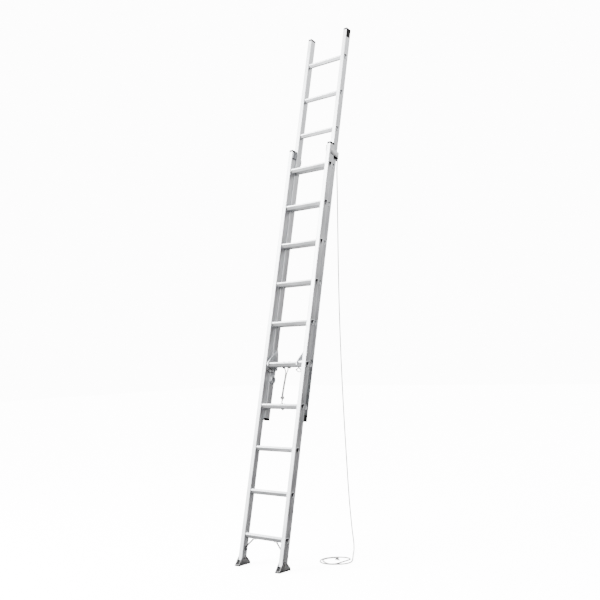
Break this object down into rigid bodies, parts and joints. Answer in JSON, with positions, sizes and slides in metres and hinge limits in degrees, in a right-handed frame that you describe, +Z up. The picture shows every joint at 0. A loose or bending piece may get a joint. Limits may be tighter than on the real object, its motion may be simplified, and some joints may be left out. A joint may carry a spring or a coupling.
{
  "type": "extension ladder",
  "caption": "Leaning two-section extension ladder with hollow stiles, ribbed rungs, swivel feet, gravity rung hooks, a pulley and a lifting rope coiled on the floor",
  "frame": {"origin": "on the floor, under the middle of the box of the leaning ladder without its free rope", "axes": "+Z is up; +Y points from the climber to the wall, and the ladder leans 13 degrees from upright towards it; +X runs across the rungs to the climber's right"},
  "size_m": [0.6778, 1.1364, 4.3253],
  "materials": {
    "stile_aluminium": "extruded, lightly brushed",
    "rung_aluminium": "extruded, ribbed tread",
    "cast_aluminium": "cast, matt",
    "zinc_steel": "pressed sheet, zinc plated",
    "black_plastic": "moulded",
    "sole_rubber": "moulded, ribbed",
    "rope_fibre": "twisted synthetic fibre"
  },
  "bodies": {
    "base": {"base_rung_01": "rung_aluminium", "base_rung_02": "rung_aluminium", "base_rung_03": "rung_aluminium", "base_rung_04": "rung_aluminium", "base_rung_05": "rung_aluminium", "base_rung_06": "rung_aluminium", "base_rung_07": "rung_aluminium", "base_rung_08": "rung_aluminium", "base_rung_09": "rung_aluminium", "base_rung_10": "rung_aluminium", "base_stile_left": "stile_aluminium", "base_stile_right": "stile_aluminium", "base_cap_left": "black_plastic", "base_cap_right": "black_plastic", "rung_brace_left": "zinc_steel", "rung_brace_right": "zinc_steel", "foot_bolt_left": "zinc_steel", "foot_bolt_right": "zinc_steel", "guide_bracket_left": "zinc_steel", "guide_bracket_right": "zinc_steel", "guide_slider_left": "black_plastic", "guide_slider_right": "black_plastic", "guide_block_left": "black_plastic", "guide_block_right": "black_plastic", "pulley_cheek": "zinc_steel", "pulley_axle": "zinc_steel", "rope_free": "rope_fibre", "rope_coil": "rope_fibre", "rope_end_knot": "rope_fibre", "rope_lift": "rope_fibre"},
    "fly": {"fly_rung_01": "rung_aluminium", "fly_rung_02": "rung_aluminium", "fly_rung_03": "rung_aluminium", "fly_rung_04": "rung_aluminium", "fly_rung_05": "rung_aluminium", "fly_rung_06": "rung_aluminium", "fly_rung_07": "rung_aluminium", "fly_rung_08": "rung_aluminium", "fly_rung_09": "rung_aluminium", "fly_rung_10": "rung_aluminium", "fly_stile_left": "stile_aluminium", "fly_stile_right": "stile_aluminium", "fly_top_cap_left": "black_plastic", "fly_top_cap_right": "black_plastic", "fly_bottom_cap_left": "black_plastic", "fly_bottom_cap_right": "black_plastic", "fly_strip_left": "black_plastic", "fly_strip_right": "black_plastic", "lock_plate_left": "cast_aluminium", "lock_plate_right": "cast_aluminium", "rope_tie": "rope_fibre"},
    "sheave": {"pulley_sheave": "black_plastic"},
    "shoe_left": {"shoe_left": "zinc_steel", "shoe_sole_left": "sole_rubber"},
    "hook_left": {"lock_hook_left": "cast_aluminium"},
    "tongue_left": {"lock_tongue_left": "cast_aluminium"},
    "shoe_right": {"shoe_right": "zinc_steel", "shoe_sole_right": "sole_rubber"},
    "hook_right": {"lock_hook_right": "cast_aluminium"},
    "tongue_right": {"lock_tongue_right": "cast_aluminium"}
  },
  "joints": [
    {"name": "fly_slide", "type": "slide", "parent": "base", "child": "fly", "axis": [0, 0.225, 0.9744], "range_m": [-0.99, 0.99], "deforming": ["rope_lift"]},
    {"name": "sheave_spin", "type": "hinge", "parent": "base", "child": "sheave", "pos_m": [0.185, 0.32387, 3.17637], "axis": [0, 0.9744, -0.225], "continuous": true},
    {"name": "foot_left_swivel", "type": "hinge", "parent": "base", "child": "shoe_left", "pos_m": [-0.2035, -0.50121, 0.056], "axis": [1, 0, 0], "range_deg": [-40, 40]},
    {"name": "hook_left_swing", "type": "hinge", "parent": "fly", "child": "hook_left", "pos_m": [-0.164, -0.09775, 1.46126], "axis": [-1, 0, 0], "range_deg": [0, 50]},
    {"name": "tongue_left_swing", "type": "hinge", "parent": "fly", "child": "tongue_left", "pos_m": [-0.165, -0.13898, 1.44717], "axis": [1, 0, 0], "range_deg": [0, 60], "stiffness_Nm_per_rad": 0.02, "springref_deg": -45.84},
    {"name": "foot_right_swivel", "type": "hinge", "parent": "base", "child": "shoe_right", "pos_m": [0.2035, -0.50121, 0.056], "axis": [1, 0, 0], "range_deg": [-40, 40]},
    {"name": "hook_right_swing", "type": "hinge", "parent": "fly", "child": "hook_right", "pos_m": [0.136, -0.09775, 1.46126], "axis": [-1, 0, 0], "range_deg": [0, 50]},
    {"name": "tongue_right_swing", "type": "hinge", "parent": "fly", "child": "tongue_right", "pos_m": [0.137, -0.13898, 1.44717], "axis": [1, 0, 0], "range_deg": [0, 60], "stiffness_Nm_per_rad": 0.02, "springref_deg": -45.84}
  ]
}
